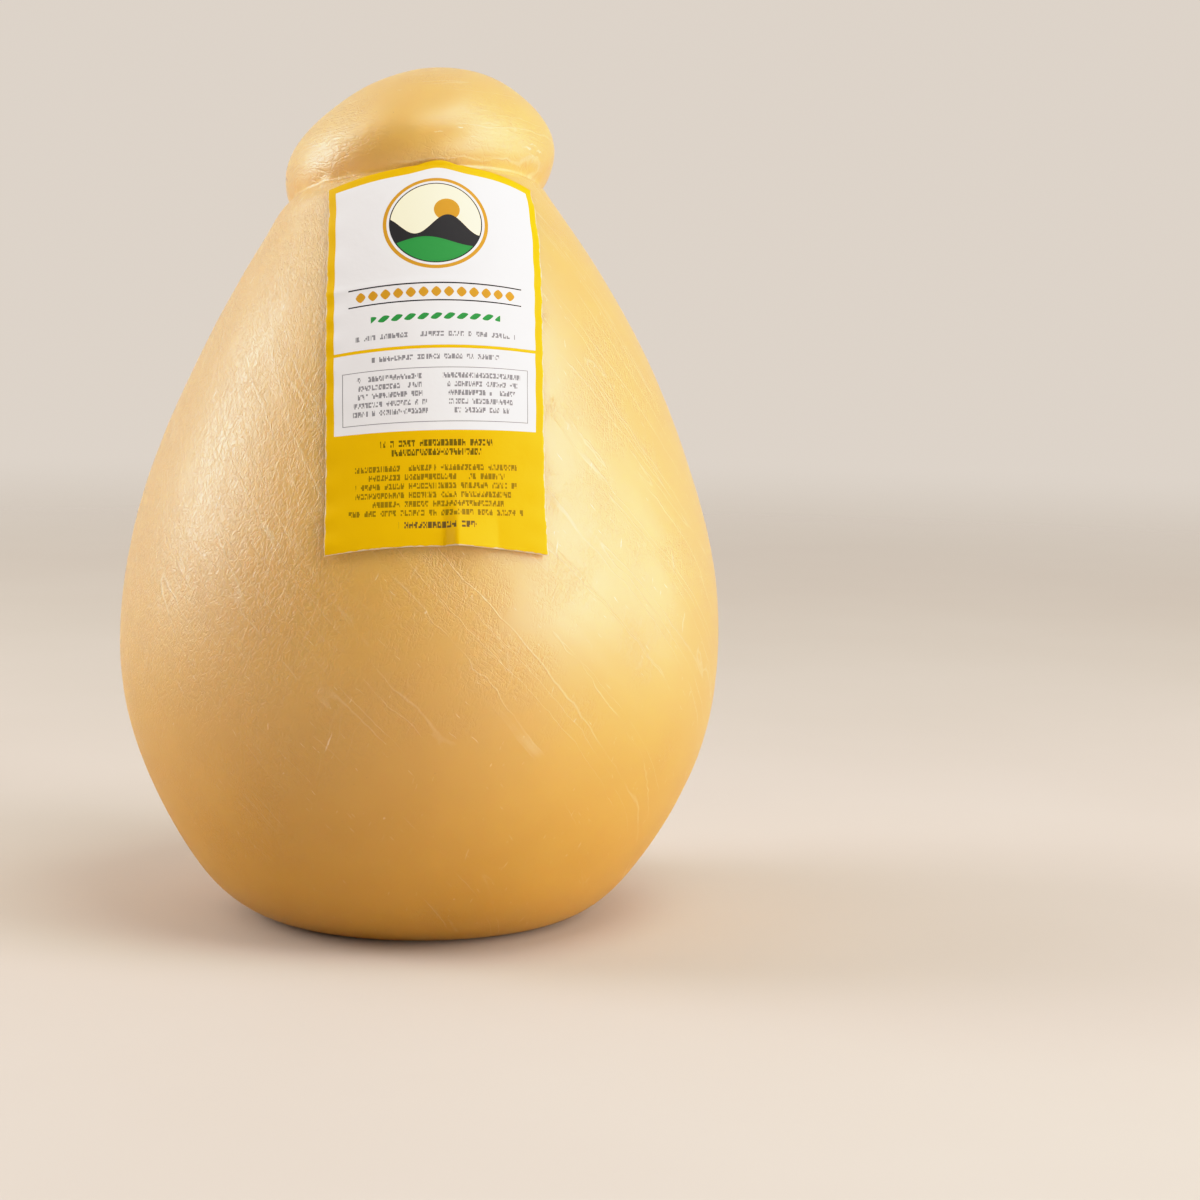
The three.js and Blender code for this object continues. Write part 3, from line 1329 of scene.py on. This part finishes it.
    def bare(self) -> bpy.types.Material:
        """Make the material of the paper's back and cut edge.

        Returns:
            A material that reads Object coordinates.
        """
        material = new_material("bare_label_paper")
        node = partial(add_node, material.node_tree)
        place = node("ShaderNodeTexCoord").outputs["Object"]
        mottle = node(NOISE, {"Vector": place, "Scale": 1 / (self.fibre_mm * MM)}).outputs["Fac"]
        light, dark = [linear(colour) for colour in self.bare_colours]
        colour = node(MIX, {"Factor": mottle, UNDER: light, OVER: dark}, data_type="RGBA").outputs[MIXED]
        shader = node("ShaderNodeBsdfPrincipled", {"Base Color": colour, "Roughness": self.bare_roughness})
        node("ShaderNodeOutputMaterial", {"Surface": shader})
        return material


@dataclass
class Label:
    """The paper label, wrapped round the front of the shoulder."""

    form: CheeseForm
    relief: RindRelief
    width: float = 53.4
    height: float = 98.8
    taper: float = 0.032
    paper: float = 0.25
    gap: float = 0.42
    top: float = 0.15
    peak_height: float = 1.5
    peak_width: float = 5.0
    peak_across: float = 0.6
    peak_lift: float = 0.35
    peak_ends: tuple[float, float] = (-1.5, 3.0)
    bottom_arch: float = 2.0
    set_right: float = 0.2
    turn_right: float = 0.9
    # It isn't quite square: its rows slant, most in the middle and hardly at the ends
    slant: float = 0.04
    slant_turn: float = 0.95 * math.pi
    bow: float = 0.75
    lift_length: float = 16.0
    lift_height: float = 0.8
    fold_height: float = 2.6
    fold_across: float = 4.4
    fold_sides: tuple[float, float] = (2.8, 10.0)
    kink_down: float = 32.5
    kink_height: float = 0.15
    kink_width: float = 0.9
    # Small waves along the sides, whose spacing drifts
    wave_height: float = 0.16
    wave_reach: float = 7.0
    wave_length: float = 1.3
    wave_drift: float = 2.0
    drift_length: float = 9.0
    above_crease: float = 3.0
    cell: float = 0.5
    probe: float = 0.2

    def wrapped(self, across: np.ndarray, down: np.ndarray) -> tuple[np.ndarray, np.ndarray]:
        """Find the skin under points of the flat label. Above the crease the paper goes straight up.

        Args:
            across: right of the middle of the front.
            down: below the crease, along the front of the body.

        Returns:
            Points of the skin, and the same points before the form leans.
        """
        shoulder = self.form.shoulder()[::-1]
        radii, heights = shoulder.T
        front = self.form.lean(np.column_stack([np.zeros_like(radii), -radii, heights]))
        run = np.concatenate([[0], np.cumsum(np.linalg.norm(np.diff(front, axis=0), axis=1))])
        flare = np.append(np.diff(radii) / np.linalg.norm(np.diff(shoulder, axis=0), axis=1), 0)
        run = np.insert(run, 0, -self.above_crease)
        radii, flare = [np.insert(values, 0, values[0]) for values in (radii, flare)]
        heights = np.insert(heights, 0, heights[0] + self.above_crease)
        drop = self.bow * np.interp(down, run, flare) * across ** 2 / (2 * np.interp(down, run, radii))
        radius = np.interp(down + drop, run, radii)
        height = np.interp(down + drop, run, heights)
        angle = (across - self.form.head_shift * self.form.side_bend(height)) / radius
        turned = np.column_stack([radius * np.sin(angle), -radius * np.cos(angle), height])
        return self.form.lean(turned), turned

    def cut(self, across: np.ndarray, lowness: np.ndarray) -> np.ndarray:
        """Place points down the flat paper, between its peaked top edge and its hollow bottom edge.

        Args:
            across: right of the middle.
            lowness: share of the way from the top edge to the bottom edge.

        Returns:
            Distance below the crease.
        """
        top = self.top - self.peak_height * bell(across - self.peak_across, self.peak_width)
        bottom = self.height - self.bottom_arch * (1 - (across / (self.width / 2)) ** 2)
        return top + (bottom - top) * lowness

    def stand_off(self, across: np.ndarray, cut: np.ndarray, lowness: np.ndarray) -> np.ndarray:
        """Find how far the paper stands off the skin: loose and folded at the bottom, waved along its sides.

        Args:
            across: right of the middle.
            cut: below the crease.
            lowness: share of the way from the top edge to the bottom edge.

        Returns:
            The distance.
        """
        from_bottom = (1 - lowness) * self.height
        loose = 1 - smoothstep(from_bottom, 0, self.lift_length)
        beside = across - self.fold_across
        fold = np.maximum(1 - np.maximum(-beside / self.fold_sides[0], beside / self.fold_sides[1]), 0)
        edge = smoothstep(np.abs(across), self.width / 2 - self.wave_reach, self.width / 2)
        drift = self.wave_drift * np.sin(from_bottom / self.drift_length)
        turn = from_bottom / self.wave_length + drift + np.sign(across)
        wave = self.wave_height * edge * (1 + np.sin(turn))
        kink = self.kink_height * bell(cut - self.kink_down, self.kink_width)
        peak = self.peak_lift * (1 - smoothstep(cut, *self.peak_ends))
        return self.gap + loose * (self.lift_height + self.fold_height * fold) + wave + kink + peak

    def flat_mesh(self) -> bpy.types.Mesh:
        """Make the flat sheet.

        Returns:
            The mesh, with a UV map that follows its edges.
        """
        sheet = bmesh.new()
        sheet.loops.layers.uv.new("sheet")
        bmesh.ops.create_grid(
            sheet, x_segments=round(self.width / self.cell), y_segments=round(self.height / self.cell),
            size=0.5, calc_uvs=True,
        )
        bmesh.ops.scale(sheet, verts=sheet.verts[:], vec=(self.width * MM, self.height * MM, 1))
        for face in sheet.faces:
            face.smooth = True
        mesh = bpy.data.meshes.new("paper_label")
        sheet.to_mesh(mesh)
        sheet.free()
        return mesh

    def map_flat(self, mesh: bpy.types.Mesh, across: np.ndarray, cut: np.ndarray) -> None:
        """Add a UV map of the paper's true flat place, which the print keeps to.

        Args:
            mesh: the flat sheet.
            across: right of the middle, for each vertex.
            cut: below the crease, for each vertex.
        """
        corner = np.empty(len(mesh.loops), np.int32)
        mesh.loops.foreach_get("vertex_index", corner)
        flat = np.column_stack([across / self.width + 0.5, 1 - cut / self.height])
        layer = mesh.uv_layers.new(name="flat", do_init=False)
        layer.uv.foreach_set("vector", flat[corner].astype(np.float32).ravel())

    def build(self) -> bpy.types.Object:
        """Wrap the flat sheet on the cheese and give it its thickness.

        Returns:
            The label, without its print.
        """
        mesh = self.flat_mesh()
        across, up, _ = (read_points(mesh) / MM).T
        lowness = 0.5 - up / self.height
        cut = self.cut(across, lowness)
        self.map_flat(mesh, across, cut)
        stand_off = self.stand_off(across, cut, lowness)
        down = cut - self.slant * across * np.sin(self.slant_turn * lowness)
        across = across * (1 - self.taper * lowness) + self.set_right + self.turn_right * (1 - lowness) ** 2
        skin, turned = self.wrapped(across, down)
        right = self.wrapped(across + self.probe, down)[0] - self.wrapped(across - self.probe, down)[0]
        below = self.wrapped(across, down + self.probe)[0] - self.wrapped(across, down - self.probe)[0]
        outward = np.cross(below, right)
        outward /= np.linalg.norm(outward, axis=1)[:, None]
        out = stand_off + self.relief.broad(turned)
        write_points(mesh, (skin + outward * out[:, None]) * MM)
        piece = new_object("paper_label", mesh)
        thick = piece.modifiers.new("paper", "SOLIDIFY")
        thick.thickness = self.paper * MM
        thick.offset = -1
        thick.material_offset = 1
        thick.material_offset_rim = 1
        return piece

    def dress(self, piece: bpy.types.Object) -> None:
        """Give the label its print and its place in the frame.

        Args:
            piece: the label.
        """
        finish = LabelPrint(self.width, self.height)
        piece.data.materials.append(finish.printed())
        piece.data.materials.append(finish.bare())
        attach(piece, BODY)
        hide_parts("label")


@dataclass(frozen=True)
class Softbox:
    """A studio softbox that looks at the cheese. Angles in degrees, sizes in metres, power in watts."""

    name: str
    azimuth: float
    elevation: float
    width: float
    height: float
    power: float
    distance: float = 1.3
    aim_height: float = 0.1
    colour: str = "#FFFDFB"

    def build(self) -> bpy.types.Object:
        """Make the light, out of the camera's sight.

        Returns:
            The light.
        """
        data = bpy.data.lights.new(self.name, "AREA")
        data.shape = "RECTANGLE"
        data.size = self.width
        data.size_y = self.height
        data.energy = self.power
        data.color = linear(self.colour)[:3]
        light = bpy.data.objects.new(self.name, data)
        turn, rise = math.radians(self.azimuth), math.radians(self.elevation)
        aim = Vector((0, 0, self.aim_height))
        light.location = aim + self.distance * Vector((
            math.sin(turn) * math.cos(rise), -math.cos(turn) * math.cos(rise), math.sin(rise),
        ))
        light.rotation_euler = (aim - light.location).to_track_quat("-Z", "Y").to_euler()
        light.visible_camera = False
        bpy.context.scene.collection.objects.link(light)
        return light


@dataclass
class Studio:
    """Pale floor that fades into pale air, soft lights and the camera.

    Sizes and distances are in metres, the lens and the sensor in millimetres, angles in degrees.
    """

    floor_radius: float = 1.4
    floor_fade: float = 0.45
    floor_sides: int = 96
    floor_colours: tuple[str, str] = ("#CAC0B5", "#D3CAC0")
    floor_roughness: float = 0.85
    mottle_size: float = 1 / 6
    mottle_detail: float = 5.0
    air_colour: str = "#FFF2E5"
    air_behind: float = 0.74
    air_before: float = 0.1
    air_turn: float = 0.7
    lens: float = 90.0
    sensor_width: float = 36.0
    clip_end: float = 50.0
    camera_azimuth: float = -2.7
    camera_distance: float = 0.7594
    camera_height: float = 0.18
    look_aside: float = 3.44
    look_down: float = 7.5
    roll: float = 0.9
    # Brightness shown for an amount of light: true up to 0.7, then bending over to white
    film_white: float = 1.5
    film_curve: tuple[tuple[float, float], ...] = ((0.4, 0.4), (0.7, 0.69), (1.0, 0.9))
    softboxes: tuple[Softbox, ...] = (
        Softbox("softbox_key", azimuth=60, elevation=22, width=0.6, height=1.1, power=12.0),
        Softbox("softbox_front_right", azimuth=36, elevation=0, width=0.5, height=0.5, power=4.4),
        Softbox("softbox_top", azimuth=45, elevation=66, width=0.8, height=0.6, power=7.0),
        Softbox("softbox_right_edge", azimuth=92, elevation=5, width=0.5, height=0.5, power=3.0),
        Softbox("softbox_left", azimuth=-101, elevation=20, width=0.6, height=0.7, power=10.2),
        Softbox("softbox_left_high", azimuth=-108, elevation=46, width=0.8, height=0.6, power=3.0),
    )

    def floor_material(self) -> bpy.types.Material:
        """Make matt floor paint: pale and plain with a faint mottle, thinning out to nothing at the rim.

        Returns:
            A material that reads Object coordinates.
        """
        material = new_material("matt_studio_floor")
        node = partial(add_node, material.node_tree)
        place = node("ShaderNodeTexCoord").outputs["Object"]
        mottle = node(NOISE, {
            "Vector": place, "Scale": 1 / self.mottle_size, "Detail": self.mottle_detail,
        }).outputs["Fac"]
        dark, light = [linear(colour) for colour in self.floor_colours]
        colour = node(MIX, {"Factor": mottle, UNDER: dark, OVER: light}, data_type="RGBA").outputs[MIXED]
        paint = node("ShaderNodeBsdfPrincipled", {"Base Color": colour, "Roughness": self.floor_roughness})
        reach = node(VECTORS, {0: place}, operation="LENGTH").outputs["Value"]
        fade = node(RANGE, {
            "Value": reach, "From Min": self.floor_fade, "From Max": self.floor_radius,
        }, interpolation_type="SMOOTHSTEP")
        clear = node("ShaderNodeBsdfTransparent")
        mixed = node("ShaderNodeMixShader", {0: fade, 1: paint, 2: clear})
        node("ShaderNodeOutputMaterial", {"Surface": mixed})
        return material

    def build_floor(self) -> bpy.types.Object:
        """Make the round floor.

        Returns:
            The floor.
        """
        disc = bmesh.new()
        bmesh.ops.create_circle(disc, cap_ends=True, radius=self.floor_radius, segments=self.floor_sides)
        mesh = bpy.data.meshes.new("studio_floor")
        disc.to_mesh(mesh)
        disc.free()
        mesh.materials.append(self.floor_material())
        floor = new_object("studio_floor", mesh)
        return floor

    def build_camera(self) -> bpy.types.Object:
        """Set the camera where the photograph was taken from.

        Returns:
            The camera.
        """
        data = bpy.data.cameras.new("camera")
        data.lens = self.lens
        data.sensor_width = self.sensor_width
        data.clip_end = self.clip_end
        camera = bpy.data.objects.new("camera", data)
        stand = math.radians(self.camera_azimuth)
        heading = math.radians(self.look_aside) - stand
        pitch, roll = math.radians(self.look_down), math.radians(self.roll)
        level = Vector((math.sin(heading), math.cos(heading), 0))
        right = Vector((math.cos(heading), -math.sin(heading), 0))
        ahead = level * math.cos(pitch) - Vector((0, 0, math.sin(pitch)))
        up = level * math.sin(pitch) + Vector((0, 0, math.cos(pitch)))
        rolled_right = right * math.cos(roll) + up * math.sin(roll)
        rolled_up = up * math.cos(roll) - right * math.sin(roll)
        turn = Matrix((rolled_right, rolled_up, -ahead)).transposed()
        place = Matrix.Translation((
            self.camera_distance * math.sin(stand),
            -self.camera_distance * math.cos(stand),
            self.camera_height,
        ))
        camera.matrix_world = place @ turn.to_4x4()
        bpy.context.scene.collection.objects.link(camera)
        bpy.context.scene.camera = camera
        return camera

    def build_air(self) -> None:
        """Light the scene from all round, more from behind the cheese, as in a room with a lit wall."""
        world = bpy.data.worlds.new("studio_air")
        world.use_nodes = True
        world.node_tree.nodes.clear()
        node = partial(add_node, world.node_tree)
        way = node("ShaderNodeTexCoord").outputs["Object"]
        behind = node("ShaderNodeSeparateXYZ", {0: way}).outputs["Y"]
        strength = node(RANGE, {
            "Value": behind, "From Min": -self.air_turn, "From Max": self.air_turn,
            "To Min": self.air_before, "To Max": self.air_behind,
        }, interpolation_type="SMOOTHSTEP")
        glow = node("ShaderNodeBackground", {"Color": linear(self.air_colour), "Strength": strength})
        node("ShaderNodeOutputWorld", {"Surface": glow})
        bpy.context.scene.world = world

    def build_response(self) -> None:
        """Give the picture a camera's response: true colours, and a soft shoulder where it would burn out."""
        view = bpy.context.scene.view_settings
        view.view_transform = "Standard"
        view.use_curve_mapping = True
        response = view.curve_mapping
        response.white_level = (self.film_white,) * 3
        # The last of the four curves works on all three colours alike
        all_colours = response.curves[3]
        for light, shown in self.film_curve:
            all_colours.points.new(light / self.film_white, shown)
        response.update()

    def build(self) -> None:
        """Build the floor, the camera, the air, the camera's response and the lights."""
        self.build_floor()
        self.build_camera()
        self.build_air()
        self.build_response()
        for softbox in self.softboxes:
            softbox.build()


def main() -> None:
    """Build the studio, the cheese and the label, in that order."""
    logging.basicConfig(level=logging.INFO, format="%(name)s: %(message)s")
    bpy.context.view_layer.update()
    Studio().build()
    form = CheeseForm()
    relief = RindRelief(form)
    for maker in (Cheese(form, relief, Rind()), Label(form, relief)):
        piece = maker.build()
        maker.dress(piece)
        mesh = piece.data
        log.info("%s: %d vertices, %d faces", piece.name, len(mesh.vertices), len(mesh.polygons))


if __name__ == "__main__":
    main()
